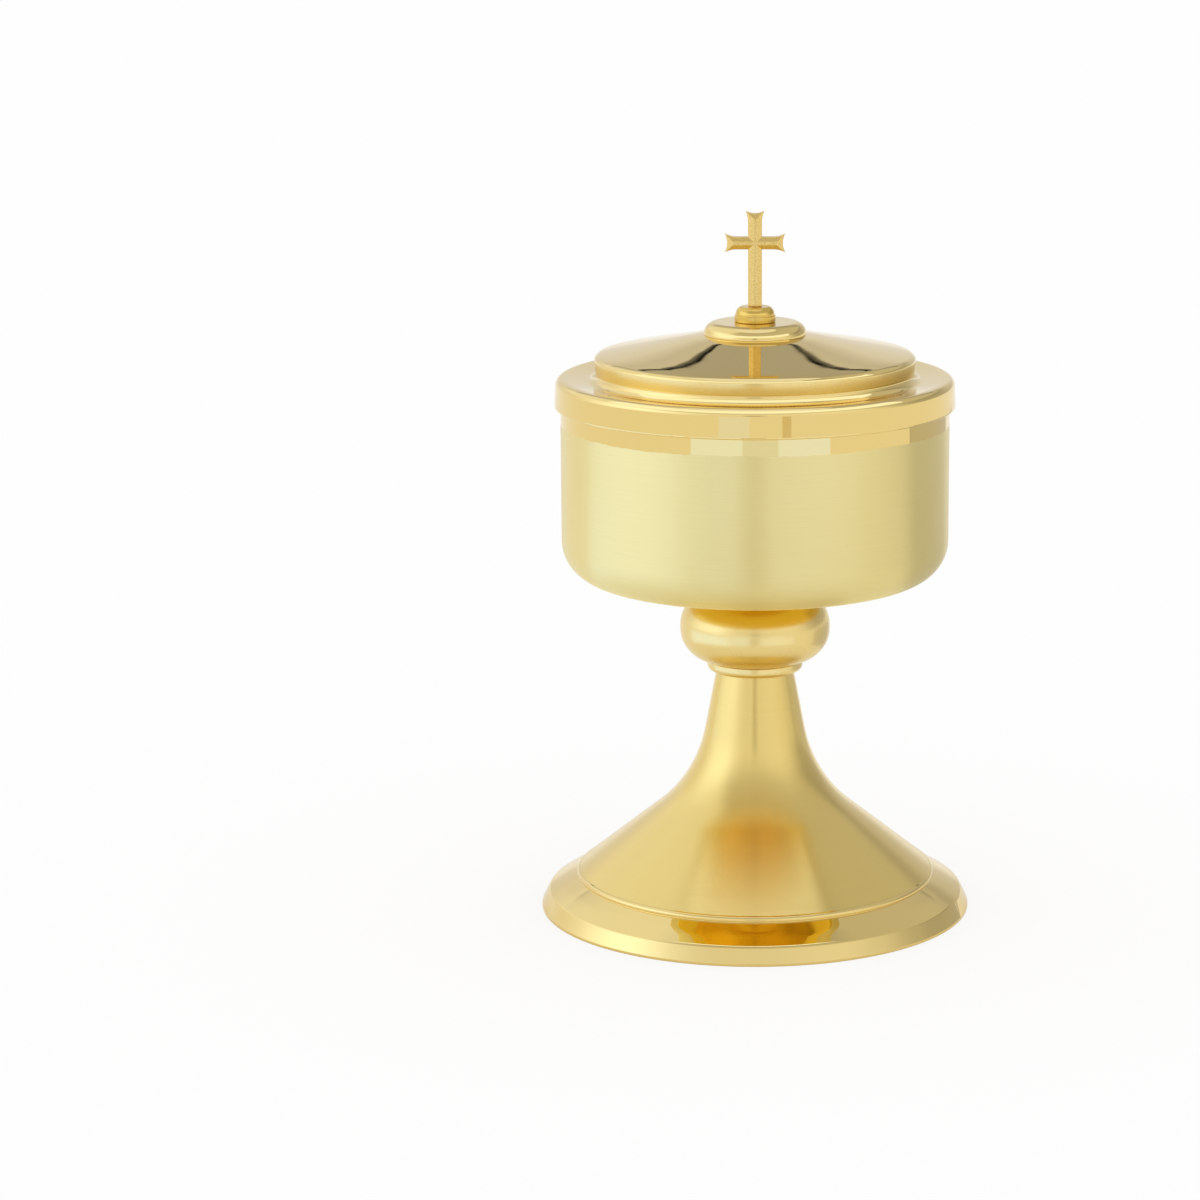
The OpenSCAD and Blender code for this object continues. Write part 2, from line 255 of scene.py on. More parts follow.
# %% [markdown]
# A photographer also puts cards out of the picture, for the metal to mirror. Cool white cards on the
# table in front give the pale blocks on the polished band under the lid, with a darker strip down the
# middle of the cup where a grey one lies between them. Cards further out do the same for the skirt of the
# lid, and a grey card at the side darkens the right of the cup. Two more hang over and round the lid, for
# the bright lines at its step. Each card is a sector of a ring about the object, between two angles and
# two distances. Only mirror rays see it.

# %% Cards for the mirrors
CARD_Z = 1
CARD_STEP = 3
Card = namedtuple("Card", "start end near far tint strength z", defaults=(CARD_Z,))
CARDS = {
    "left_card": Card(-36.5, -7, 240, 1300, "CCDCFF", 1.65),
    "middle_card": Card(-7, 13, 760, 1300, "DEE9FF", 1.23),
    "right_card": Card(13, 43, 760, 1300, "C8D8FF", 1.72),
    "left_near_card": Card(-112, -39, 200, 760, "C6D8FF", 1.9),
    "right_near_card": Card(6, 60, 240, 760, "E2EAFF", 1.4),
    "far_card": Card(-20, -3, 1400, 2800, "DEE6FC", 1.3),
    "far_grey_strip": Card(15, 20, 1400, 2800, "FFF4DC", 0.8),
    "grey_strip": Card(-8, 6, 240, 760, "FFF6E8", 0.75),
    "grey_side_card": Card(100, 150, 150, 1000, "FFFFFF", 0.62),
    "card_over_the_lid": Card(-180, 180, 2, 66, "E3E9FF", 1.3, 300),
    "card_round_the_lid": Card(-80, 80, 58, 100, "DCE6FF", 1.8, 197),
}

for name, card in CARDS.items():
    finish, tree = new_material(name + "_paper")
    glow = add(tree, "ShaderNodeEmission", {"Color": linear(card.tint), "Strength": card.strength}).outputs[0]
    add(tree, "ShaderNodeOutputMaterial", {"Surface": glow})
    steps = ceil((card.end - card.start) / CARD_STEP)
    turns = [radians(card.start + (card.end - card.start) * i / steps) for i in range(steps + 1)]
    verts = [Vector((sin(a) * r, -cos(a) * r, card.z)) * MM for a in turns for r in (card.near, card.far)]
    card_mesh = bpy.data.meshes.new(name)
    card_mesh.from_pydata(verts, [], [(2 * i, 2 * i + 1, 2 * i + 3, 2 * i + 2) for i in range(steps)])
    card_mesh.materials.append(finish)
    sheet = bpy.data.objects.new(name, card_mesh)
    sheet.visible_camera = False
    sheet.visible_diffuse = False
    sheet.visible_shadow = False
    scene.collection.objects.link(sheet)
print("cards:", ", ".join(CARDS))

# %% [markdown]
# ## Mirror-polished gilt
# The rim of the foot, the band of the cup and the lid are buffed brass under a thin coat of gold, a warm,
# pale yellow mirror. The stem, and the step of the lid where the mop can't reach well, are buffed less
# and softer. Spinning leaves a very shallow waviness round the axis, and handling leaves faint smudges
# that make the mirror a little softer in places. Both are drawn with noise, at their real size. The
# button is buffed less, and is deeper in colour. The undersides and the insides are buffed less too,
# and their deep amber is painted reflection: it stands for the amber that gold mirrored in gold shows.

# %% Mirror-polished gilt
SPIN_WAVE = 6
SPIN_WAVE_LENGTH = 72
SPIN_WAVE_DEPTH = 0.0006
SMUDGE = 14
SMUDGE_FROM = 0.45
SMUDGE_TO = 0.75


def axis_places(tree, lean=1):
    """Object coordinates, and one that follows the outline of a spun piece: z plus lean times the radius."""
    place = add(tree, "ShaderNodeTexCoord").outputs["Object"]
    parts = add(tree, "ShaderNodeSeparateXYZ", {0: place}).outputs
    flat = add(tree, "ShaderNodeCombineXYZ", {"X": parts["X"], "Y": parts["Y"]}).outputs[0]
    radius = add(tree, "ShaderNodeVectorMath", {0: flat}, operation="LENGTH").outputs["Value"]
    return place, parts, calc(tree, "MULTIPLY_ADD", radius, lean, parts["Z"])


def round_the_axis(tree, parts, along, length, width):
    """Coordinates that stretch a noise round the axis, to marks of that length and width in millimetres."""
    x = calc(tree, "MULTIPLY", parts["X"], 1 / (length * MM))
    y = calc(tree, "MULTIPLY", parts["Y"], 1 / (length * MM))
    z = calc(tree, "MULTIPLY", along, 1 / (width * MM))
    return add(tree, "ShaderNodeCombineXYZ", {0: x, 1: y, 2: z}).outputs[0]


def noise(tree, place, scale, detail):
    """A noise about 0.5."""
    return add(tree, "ShaderNodeTexNoise", {"Vector": place, "Scale": scale, "Detail": detail}).outputs[0]


def coat_of_metal(tree, colour, roughness, relief, depth, **brushing):
    """Metal as the surface of a material, with a relief of that depth in millimetres."""
    bump = add(tree, "ShaderNodeBump", {"Height": relief, "Distance": depth * MM}).outputs[0]
    metal = add(tree, "ShaderNodeBsdfPrincipled", {
        "Base Color": colour, "Metallic": 1.0, "Roughness": roughness, "Normal": bump, **brushing})
    add(tree, "ShaderNodeOutputMaterial", {"Surface": metal.outputs[0]})


def mirror_gilt(name, colour, smooth, smudged):
    """Buffed and gilded metal with its spinning waves and smudges."""
    material, tree = new_material(name)
    place, parts, along = axis_places(tree)
    smudges = noise(tree, place, 1 / (SMUDGE * MM), 4)
    rough = ranged(tree, smudges, SMUDGE_FROM, SMUDGE_TO, smooth, smudged)
    waves = noise(tree, round_the_axis(tree, parts, along, SPIN_WAVE_LENGTH, SPIN_WAVE), 1, 1)
    coat_of_metal(tree, linear(colour), rough, waves, SPIN_WAVE_DEPTH)
    return material


POLISHED = mirror_gilt("mirror_polished_gilt_brass", "EACF86", 0.03, 0.07)
SOFT_BUFFED = mirror_gilt("softly_buffed_gilt_of_the_stem", "EBD189", 0.24, 0.3)
FINIAL = mirror_gilt("deep_gilt_of_the_finial", "DEBA5E", 0.14, 0.22)
# The deep amber of the inside finish is painted reflection: the amber that gold mirrored in gold shows.
PAINTED_AMBER_INSIDE = mirror_gilt("buffed_gilt_inside_painted_amber", "EFCA46", 0.09, 0.16)
print("finishes:", POLISHED.name, SOFT_BUFFED.name, FINIAL.name, PAINTED_AMBER_INSIDE.name)

# %% [markdown]
# ## Satin gilt
# The cup and the bell of the foot were brushed on the lathe before plating, so fine scratches run round
# the axis. They spread a reflection across themselves, up and down the wall, and keep it sharp round the
# wall. An anisotropic metal does that, with its tangent round the axis and turned by a quarter. The
# scratches are about 0.05 mm apart on the metal, too fine to show, so they are drawn 0.3 mm apart, and
# faint.

# %% Satin gilt
SCRATCH_LENGTH = 26
SCRATCH_WIDTH = 0.3
SCRATCH_DEPTH = 0.00015
SCRATCH_FROM = 0.3
SCRATCH_TO = 0.7
SCRATCH_ROUGHNESS = 0.03
HANDLING = 30
HANDLING_SHARE = 0.5
TONE_FROM = 0.45
TONE_TO = 1.05
BRUSHED = 0.92
QUARTER_TURN = 0.25


def blend(tree, share, first, second):
    """A colour between two hex values, by a share from 0 to 1."""
    inputs = {0: share, 6: linear(first), 7: linear(second)}
    return add(tree, "ShaderNodeMix", inputs, data_type="RGBA").outputs[2]


def satin_gilt(name, light, dark, roughness, lean):
    """Gilded metal brushed round the axis."""
    material, tree = new_material(name)
    place, parts, along = axis_places(tree, lean)
    scratch = noise(tree, round_the_axis(tree, parts, along, SCRATCH_LENGTH, SCRATCH_WIDTH), 1, 4)
    handled = noise(tree, place, 1 / (HANDLING * MM), 3)
    mixed = calc(tree, "MULTIPLY_ADD", handled, HANDLING_SHARE, scratch)
    colour = blend(tree, ranged(tree, mixed, TONE_FROM, TONE_TO), dark, light)
    least, most = roughness - SCRATCH_ROUGHNESS, roughness + SCRATCH_ROUGHNESS
    rough = ranged(tree, scratch, SCRATCH_FROM, SCRATCH_TO, least, most)
    around = add(tree, "ShaderNodeTangent", direction_type="RADIAL", axis="Z").outputs[0]
    coat_of_metal(tree, colour, rough, scratch, SCRATCH_DEPTH, **{
        "Anisotropic": BRUSHED, "Anisotropic Rotation": QUARTER_TURN, "Tangent": around})
    return material


SATIN_CUP = satin_gilt("satin_gilt_brass_of_the_cup", "F0DF9C", "EBD891", 0.4, 1)
SATIN_FOOT = satin_gilt("satin_gilt_brass_of_the_foot", "E9CE7F", "E6CA7B", 0.21, -1)
print("finishes:", SATIN_CUP.name, SATIN_FOOT.name)

# %% [markdown]
# ## Cast gilt, turned brass and plated steel
# The cross is cast in sand or wax and only lightly polished, so a fine grain stays in its skin under the
# gold. The nuts, washers and boss are turned from bare brass bar, with tool marks round the axis. The rod
# and the spring washer are zinc-plated steel: grey, a little cloudy, with a matt shine.

# %% Cast gilt, turned brass and plated steel
CAST_GRAIN = 0.35
CAST_GRAIN_DEPTH = 0.007
TOOL_MARK = 0.25
TOOL_MARK_LENGTH = 8
TOOL_MARK_DEPTH = 0.004
ZINC_CLOUD = 1.5
GRAIN_FROM = 0.35
GRAIN_TO = 0.65
GRAIN_ROUGHNESS = 0.06


def grained_metal(name, colours, grain, depth, roughness, length=None):
    """A metal with a grained skin, or with marks of that length round the axis."""
    material, tree = new_material(name)
    place, parts, along = axis_places(tree)
    scale = 1 / (grain * MM)
    if length:
        place = round_the_axis(tree, parts, along, length, grain)
        scale = 1
    skin = noise(tree, place, scale, 3)
    tone = ranged(tree, skin, GRAIN_FROM, GRAIN_TO)
    rough = ranged(tree, tone, 0, 1, roughness + GRAIN_ROUGHNESS, roughness)
    coat_of_metal(tree, blend(tree, tone, *colours), rough, skin, depth)
    return material


CAST = grained_metal("cast_gilt_brass", ("DCB766", "ECD084"), CAST_GRAIN, CAST_GRAIN_DEPTH, 0.24)
BRASS = grained_metal(
    "turned_brass", ("C9A552", "D8B96C"), TOOL_MARK, TOOL_MARK_DEPTH, 0.26, TOOL_MARK_LENGTH)
ZINC = grained_metal("zinc_plated_steel", ("B9B9B3", "CBCBC8"), ZINC_CLOUD, TOOL_MARK_DEPTH, 0.33)
print("finishes:", CAST.name, BRASS.name, ZINC.name)

# %% [markdown]
# ## From an outline to a turned piece
# Nearly every piece is round about the axis, so it is an outline turned on a lathe. An outline is a list
# of corners, each with the radius of its bend and the finish of the run that leaves it. The Screw
# modifier could turn a curve, but it gives no control over normals, and a mirror shows every error. So
# the outline is walked here, each bend becomes a short row of points, and each point keeps its exact
# normal.

# %% Outlines
SMALL_BEND = 0.1
ARC_STEP = radians(4)
ARC_CHORD = 0.9
STEP_SLACK = 0.01
Corner = namedtuple("Corner", "r z bend finish ragged", defaults=(SMALL_BEND, 0, 0))


def left_of(v):
    """A direction turned to its left by a quarter."""
    return Vector((-v.y, v.x))


def right_of(v):
    """A direction turned to its right by a quarter."""
    return Vector((v.y, -v.x))


def turned_by(v, angle):
    """A direction turned to its left by an angle."""
    return v * cos(angle) + left_of(v) * sin(angle)


def bend_points(corner, into, out):
    """Places and outward normals along the bend of one corner, between two directions."""
    turn = atan2(left_of(into).dot(out), into.dot(out))
    steps = ceil(max(abs(turn) / ARC_STEP, abs(turn) * corner.bend / ARC_CHORD) - STEP_SLACK)
    side = 1 if turn > 0 else -1
    start = Vector((corner.r, corner.z)) - into * corner.bend * tan(abs(turn) / 2)
    centre = start + left_of(into) * corner.bend * side
    ways = [turned_by(into, turn * i / max(steps, 1)) for i in range(steps + 1)]
    return [(centre + right_of(way) * corner.bend * side, right_of(way)) for way in ways]


def outline(corners, closed):
    """Every point of an outline: its place, its normal and its corner. The metal is on the left."""
    places = [Vector((c.r, c.z)) for c in corners]
    ways = [(places[(i + 1) % len(places)] - p).normalized() for i, p in enumerate(places)]
    points = []
    for i, corner in enumerate(corners):
        into, out = ways[i - 1], ways[i]
        if not closed and i in (0, len(corners) - 1):
            into = out = ways[0] if i == 0 else ways[-2]
        points += [(place, normal, corner) for place, normal in bend_points(corner, into, out)]
    return points


def inner_corners(corners, wall, finish):
    """The other face of a sheet of even thickness, walked back from its end."""
    places = [Vector((c.r, c.z)) for c in corners]
    ways = [(b - a).normalized() for a, b in zip(places, places[1:])]
    inner = []
    for i, (corner, place) in enumerate(zip(corners, places)):
        into, out = ways[max(i - 1, 0)], ways[min(i, len(ways) - 1)]
        moved = place + (left_of(into) + left_of(out)) * wall / (1 + into.dot(out))
        bend = corner.bend
        if 0 < i < len(ways):
            bend += -wall if left_of(into).dot(out) > 0 else wall
        inner.append(Corner(moved.x, moved.y, max(bend, SMALL_BEND), finish))
    return inner[::-1]


print("a bend has a point at least every", ARC_CHORD, "mm")

# %% [markdown]
# The outline is then turned. A point on the axis becomes one vertex, and any other a ring of them. A
# split ring, such as a spring washer, stops short of the full turn and gets two end faces. A corner can
# also be ragged: its height then wanders by that much round the piece, as a sum of three waves.

# %% Lathe
SEGMENTS = 256
ON_AXIS = 1e-6
RING_SHARP = 35
Wave = namedtuple("Wave", "share count shift")
RAGGED_WAVES = (Wave(0.5, 7, 1), Wave(0.3, 31, 2), Wave(0.2, 83, 0))


def ragged_edge(angle):
    """The uneven line that a hand-held polishing mop leaves, from -1 to 1."""
    return sum(wave.share * sin(wave.count * angle + wave.shift) for wave in RAGGED_WAVES)


def new_piece(name, verts, faces, finishes, face_finish=None):
    """A smooth mesh object with its finishes; verts are in millimetres."""
    mesh = bpy.data.meshes.new(name)
    mesh.from_pydata([Vector(v) * MM for v in verts], [], faces)
    for finish in finishes:
        mesh.materials.append(finish)
    if face_finish:
        mesh.polygons.foreach_set("material_index", face_finish)
    mesh.polygons.foreach_set("use_smooth", [True] * len(mesh.polygons))
    mesh.update()
    piece = bpy.data.objects.new(name, mesh)
    scene.collection.objects.link(piece)
    return piece


def lathe(name, corners, finishes, closed=True, split=0, segments=SEGMENTS):
    """Turns an outline about the axis. split is the angle that a split ring leaves open."""
    section = outline(corners, closed)
    columns = segments + 1 if split else segments
    angles = [split / 2 + (2 * pi - split) * i / segments for i in range(columns)]
    verts, normals, rings = [], [], []
    for place, normal, corner in section:
        on_axis = place.x < ON_AXIS
        rings.append([len(verts) + (0 if on_axis else i) for i in range(columns)])
        for a in angles[:1] if on_axis else angles:
            z = place.y + corner.ragged * ragged_edge(a)
            verts.append((place.x * cos(a), place.x * sin(a), z))
            normals.append((normal.x * cos(a), normal.x * sin(a), normal.y))
    faces, face_finish = [], []
    for i in range(len(section) if closed else len(section) - 1):
        low, high = rings[i], rings[(i + 1) % len(rings)]
        for j in range(segments):
            k = (j + 1) % columns
            faces.append(list(dict.fromkeys((low[j], low[k], high[k], high[j]))))
            face_finish.append(section[i][2].finish)
    if split:
        faces += [[ring[0] for ring in rings][::-1], [ring[-1] for ring in rings]]
        face_finish += [0, 0]
    piece = new_piece(name, verts, faces, finishes, face_finish)
    if split:
        piece.data.set_sharp_from_angle(angle=radians(RING_SHARP))
    else:
        piece.data.normals_split_custom_set_from_vertices(normals)
    return piece


print("a turned piece has", SEGMENTS, "sides")

# %% [markdown]
# Each finished piece stands for one node of the frame. It rides on that node's body, so the pieces of the
# lid lift together.

# %% Placing pieces
BODIES = {node: body for body, nodes in frame["record"]["behaviour"]["bodies"].items() for node in nodes}


def stand_for(piece, node):
    """Puts a piece in the place of a node of the frame."""
    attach(piece, BODIES[node])
    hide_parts(node)
    print(piece.name, "stands for", node, "on", BODIES[node], "with", len(piece.data.polygons), "faces")


# %% [markdown]
# ## Foot
# The foot is one sheet, spun over a former: an upright edge, a leaning band, a swelling bevel, a
# half-round bead and a bell that sweeps up into the neck. Up to the bead it is polished, and the bell and
# neck are satin. The bead is one bend: its corner stands half the bead's width off the slope that it sits
# on. The sweep is one large bend too, at the point where the lines of the bell and the neck would meet.

# %% Foot
FOOT_WALL = 1.2
EDGE_H = 0.8
BAND_H = 5.1
BAND_LEAN = 2.1
BEVEL_SWELL = 0.12
BEAD_R = 51.4
BEAD_Z = 9.5
BELL_R = 50.6
BELL_Z = 11.2
BELL_SLOPE = tan(radians(51.2))
NECK_SLOPE = tan(radians(10.8))
NECK_R = 11.05
ROD_HOLE_R = 3.2
FOOT_EDGE_BEND = 0.25
EDGE_BEND = 0.3
BAND_BEND = 1.6
SWELL_BEND = 60
BEAD_ROOT_BEND = 0.15
BEAD_BEND_SHARE = 0.6
BELL_ROOT_BEND = 0.12
BELL_INSIDE_BEND = 2
SWEEP_BEND = 39.6
NECK_BEND = 0.3

polished, satin, inside = range(3)
foot_z, neck_z, foot_r = reach("foot")
band_r = foot_r - BAND_LEAN
swell = Vector((band_r + BEAD_R, BAND_H + BEAD_Z)) / 2
swell += right_of(Vector((BEAD_R - band_r, BEAD_Z - BAND_H)).normalized()) * BEVEL_SWELL
rim = [
    Corner(foot_r, foot_z, FOOT_EDGE_BEND, polished),
    Corner(foot_r, EDGE_H, EDGE_BEND, polished),
    Corner(band_r, BAND_H, BAND_BEND, polished),
    Corner(swell.x, swell.y, SWELL_BEND, polished)]
slope = Vector((BELL_R - BEAD_R, BELL_Z - BEAD_Z))
crown = Vector((BEAD_R, BEAD_Z)) + slope / 2 + right_of(slope) / 2
bead = [
    Corner(BEAD_R, BEAD_Z, BEAD_ROOT_BEND, polished),
    Corner(crown.x, crown.y, BEAD_BEND_SHARE * slope.length, polished),
    Corner(BELL_R, BELL_Z, BELL_ROOT_BEND, satin)]
sweep_z = (BELL_R + BELL_SLOPE * BELL_Z - NECK_R - NECK_SLOPE * neck_z) / (BELL_SLOPE - NECK_SLOPE)
sweep_r = NECK_R + NECK_SLOPE * (neck_z - sweep_z)
neck = [
    Corner(sweep_r, sweep_z, SWEEP_BEND, satin),
    Corner(NECK_R, neck_z, NECK_BEND, satin),
    Corner(ROD_HOLE_R, neck_z, SMALL_BEND, inside)]
foot_inside = inner_corners(rim + [Corner(BELL_R, BELL_Z, BELL_INSIDE_BEND)] + neck, FOOT_WALL, inside)
foot = lathe("foot_shell", rim + bead + neck + foot_inside, [POLISHED, SATIN_FOOT, PAINTED_AMBER_INSIDE])
stand_for(foot, "foot")

# %% [markdown]
# ## Stem
# Two collars hold the knop between them. A collar is a turned ring, upright above and rounded in below.
# The knop is a hollow ring with a full half-round side, made by the bends of its two corners.

# %% Stem
COLLAR_DRAW = 1.6
COLLAR_EDGE = 0.4
KNOP_WALL = 1.5
KNOP_SEAT = 0.9
BOSS_HOLE_R = 7.2

for node, bore_r in (("lower_collar", ROD_HOLE_R), ("upper_collar", BOSS_HOLE_R)):
    low, high, collar_r = reach(node)
    collar = lathe(node + "_ring", [
        Corner(bore_r, low), Corner(collar_r, low, COLLAR_DRAW),
        Corner(collar_r, high, COLLAR_EDGE), Corner(bore_r, high)], [SOFT_BUFFED])
    stand_for(collar, node)

low, high, knop_r = reach("knop")
side = (high - low) / 2
inside_r = knop_r - KNOP_WALL
inside_low = low + KNOP_WALL
inside_high = high - KNOP_WALL
knop = lathe("knop_shell", [
    Corner(ROD_HOLE_R, low), Corner(knop_r, low, side - KNOP_SEAT),
    Corner(knop_r, high, side), Corner(BOSS_HOLE_R, high),
    Corner(BOSS_HOLE_R, inside_high), Corner(inside_r, inside_high, side - KNOP_WALL),
    Corner(inside_r, inside_low, side - KNOP_WALL), Corner(ROD_HOLE_R, inside_low)], [SOFT_BUFFED])
stand_for(knop, "knop")

# %% [markdown]
# ## Cup
# The cup is spun in one sheet with an upright side. Its outside is satin up to a hand-masked line under
# the lid, which is a little ragged, and polished from there to the rim. The inside is buffed, and so is
# the underside as far as the lower part of the corner, where the satin starts. Their deep amber colour is
# painted reflection: the foot and the knop mirror it as the amber of gold seen in gold. The corner is two
# bends for that reason, with a finish each, and each a hair smaller than the whole so that they don't
# overlap.

# %% Cup
CUP_WALL = 1
CUP_BEND = 11.2
CUP_BEND_SHARE = 0.995
# Up to this angle from the bottom, the corner has the painted amber reflection of the inside finish, and
# satin above.
PAINTED_AMBER_END = 22.5
POLISHED_BAND = 12
MASK_ERROR = 0.22
RIM_EDGE = 0.4

satin, polished, inside = range(3)
cup_z, rim_z, cup_r = reach("cup")
low_part = CUP_BEND * tan(radians(PAINTED_AMBER_END) / 2)
side_part = CUP_BEND * tan(radians(90 - PAINTED_AMBER_END) / 2)
cup = lathe("cup_shell", [
    Corner(0, cup_z, 0, inside),
    Corner(cup_r - CUP_BEND + low_part, cup_z, CUP_BEND_SHARE * CUP_BEND, inside),
    Corner(cup_r, cup_z + CUP_BEND - side_part, CUP_BEND_SHARE * CUP_BEND, satin),
    Corner(cup_r, rim_z - POLISHED_BAND, 0, polished, MASK_ERROR),
    Corner(cup_r, rim_z, RIM_EDGE, polished),
    Corner(cup_r - CUP_WALL, rim_z, RIM_EDGE, inside),
    Corner(cup_r - CUP_WALL, cup_z + CUP_WALL, CUP_BEND - CUP_WALL, inside),
    Corner(0, cup_z + CUP_WALL, 0, inside)], [SATIN_CUP, POLISHED, PAINTED_AMBER_INSIDE], closed=False)
stand_for(cup, "cup")

# %% [markdown]
# ## Lid
# The lid is a polished sheet. Its skirt goes over the outside of the cup and flares a little to a rounded
# edge. Its shoulder is flat where it rests on the rim, and dished from there to the root of the step. The
# step's wall leans out a little as it rises to the dome, and is buffed softer because the mop can't reach
# it well. The dome is almost a cone, drawn as runs from the finial out, each with its slope and the bend
# at its lower end. The slope grows a little, and that small change bends the dark cornice line that the
# dome mirrors.

# %% Lid
LID_WALL = 1
LID_GAP = 0.3
SHOULDER_W = 9.6
SKIRT_BEND = 2
SKIRT_EDGE = 0.6
INNER_SKIRT_EDGE = 0.25
RIM_REST = 1.5
REST_BEND = 2
DISH = 1.1
STEP_ROOT = 2.4
STEP_EDGE = 0.9
STEP_H = 5.45
UNDERCUT = 0.8
WALL_START = 3
SEAT_BEND = 0.5
TAIL_HOLE_R = 1.7
Run = namedtuple("Run", "length slope bend")
DOME_RUNS = (
    Run(3, 9.3, 90), Run(4.5, 11.2, 700), Run(7, 10.85, 900), Run(6, 10.5, 1100),
    Run(4, 10.7, 230), Run(3, 11.4, 60), Run(2.4, 13.6, 3))

polished, inside, soft = range(3)
skirt_z, seat_z, flare_r = reach("lid")
seat_r = reach("lid_plinth")[2]
shoulder_z = rim_z + LID_WALL
step_r = cup_r - SHOULDER_W
dome = [Corner(seat_r, seat_z, SEAT_BEND)]
for run in DOME_RUNS:
    above = dome[-1]
    dome.append(Corner(above.r + run.length, above.z - run.length * tan(radians(run.slope)), run.bend))
step_top = Corner(step_r, shoulder_z + STEP_H, STEP_EDGE)
top = [step_top, *dome[::-1], Corner(TAIL_HOLE_R, seat_z, SMALL_BEND, inside)]
skirt_r = cup_r + LID_GAP + LID_WALL
skirt = [Corner(flare_r, skirt_z, SKIRT_EDGE), Corner(skirt_r, shoulder_z, SKIRT_BEND)]
inner_skirt = [
    Corner(flare_r, skirt_z, INNER_SKIRT_EDGE), Corner(skirt_r, shoulder_z, LID_WALL + LID_GAP / 2)]
root = Vector((step_r - UNDERCUT, shoulder_z - DISH))
wall = root + Vector((UNDERCUT, STEP_H + DISH)).normalized() * WALL_START
step = [
    Corner(cup_r - RIM_REST, shoulder_z, REST_BEND, polished),
    Corner(root.x, root.y, STEP_ROOT, polished),
    Corner(wall.x, wall.y, 0, soft)]
lid_inside = inner_corners(inner_skirt + step + top, LID_WALL, inside)
lid = lathe("lid_shell", skirt + step + top + lid_inside, [POLISHED, PAINTED_AMBER_INSIDE, SOFT_BUFFED])
stand_for(lid, "lid")

# %% [markdown]
# ## Finial
# A disc with a quarter-round edge sits on the dome, and a turned button on the disc carries the cross.
# The button has an upright side, a small step and a bun-shaped top, all turned from one bar.

# %% Plinth and button
PLINTH_ROUND = 3.35
BUTTON_TOP_R = 4.1
BUTTON_SIDE_H = 1.9
BUTTON_STEP = 0.3
BUTTON_BROW_H = 3.5
BUTTON_FOOT_BEND = 0.3
BUTTON_SIDE_BEND = 0.2
BUTTON_STEP_BEND = 0.08
BUTTON_BROW_BEND = 2.5
BUTTON_TOP_BEND = 0.4

low, high, plinth_r = reach("lid_plinth")
plinth = lathe("plinth_disc", [
    Corner(TAIL_HOLE_R, low), Corner(plinth_r, low),
    Corner(plinth_r, high, PLINTH_ROUND), Corner(TAIL_HOLE_R, high)], [POLISHED])
stand_for(plinth, "lid_plinth")

low, high, button_r = reach("finial_button")
side_z = low + BUTTON_SIDE_H
bun_r = button_r - BUTTON_STEP
button = lathe("finial_button_turned", [
    Corner(TAIL_HOLE_R, low), Corner(button_r, low, BUTTON_FOOT_BEND),
    Corner(button_r, side_z, BUTTON_SIDE_BEND), Corner(bun_r, side_z, BUTTON_STEP_BEND),
    Corner(bun_r, low + BUTTON_BROW_H, BUTTON_BROW_BEND), Corner(BUTTON_TOP_R, high, BUTTON_TOP_BEND),
    Corner(TAIL_HOLE_R, high)], [FINIAL])
stand_for(button, "finial_button")

# %% [markdown]
# The cross is cast. Each limb has a ridge along its middle that falls to thin sides, and three of the
# limbs flare to a hollow end with two horns, where a small triangular facet falls to the tip. A limb is a
# grid of places over its face, repeated on the back. The four limbs overlap, and a voxel remesh with a
# little smoothing melts them into one casting, with the soft edges that a mould gives.

# %% Cross
CROSS_SPAN = 17
ARM_Z = 17.9
ARM_W = 3.5
UPRIGHT_W = 3.9
RIDGE_W = 0.9
THIN = 1.1
FLARE_W = 5.3
FLARE_L = 3.2
FLARE_HOLLOW = 0.7
END_BEVEL = 2.2
ACROSS = 16
LONGWAYS = 12

cross_low, cross_high = [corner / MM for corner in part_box("finial_cross")]
cross_z = reach("finial_button")[1]
thick = cross_high.y


def share_of(value, start, end):
    """How far a value is from start to end, from 0 to 1."""
    return min(max((value - start) / (end - start), 0), 1)


def limb_place(length, width, flared, along, across):
    """A point of a limb's face: its distance along the limb, off its middle, and its half thickness."""
    plain = length - FLARE_L if flared else length
    root = -width / 2
    if along <= 1:
        x = root + (plain - root) * along
        half_w = width / 2
    else:
        x = plain + (FLARE_L - FLARE_HOLLOW * (1 - across * across)) * (along - 1)
        half_w = (width + (FLARE_W - width) * (along - 1) ** 2) / 2
    y = half_w * across
    fall = share_of(abs(y), RIDGE_W / 2, FLARE_W / 2)
    if flared:
        fall = max(fall, share_of(x, length - END_BEVEL, length))
    return x, y, thick - (thick - THIN / 2) * fall


def limb(verts, faces, length, width, turn, flared):
    """Adds one limb of the cross, turned from +X about its middle."""
    stations = [i / LONGWAYS for i in range((2 if flared else 1) * LONGWAYS + 1)]
    columns = ACROSS + 1
    first = len(verts)
    for front in (-1, 1):
        for along in stations:
            for j in range(columns):
                x, y, t = limb_place(length, width, flared, along, 2 * j / ACROSS - 1)
                z = cross_z + ARM_Z + x * sin(turn) + y * cos(turn)
                verts.append((x * cos(turn) - y * sin(turn), front * t, z))
    back = len(stations) * columns
    for i in range(len(stations) - 1):
        for j in range(ACROSS):
            a = first + i * columns + j
            faces.append((a, a + columns, a + columns + 1, a + 1))
            faces.append((a + back, a + back + 1, a + back + columns + 1, a + back + columns))
    edge = list(range(columns))
    edge += [i * columns + ACROSS for i in range(1, len(stations))]
    edge += [(len(stations) - 1) * columns + j for j in range(ACROSS - 1, -1, -1)]
    edge += [i * columns for i in range(len(stations) - 2, 0, -1)]
    for a, b in zip(edge, edge[1:] + edge[:1]):
        faces.append((first + a, first + b, first + b + back, first + a + back))


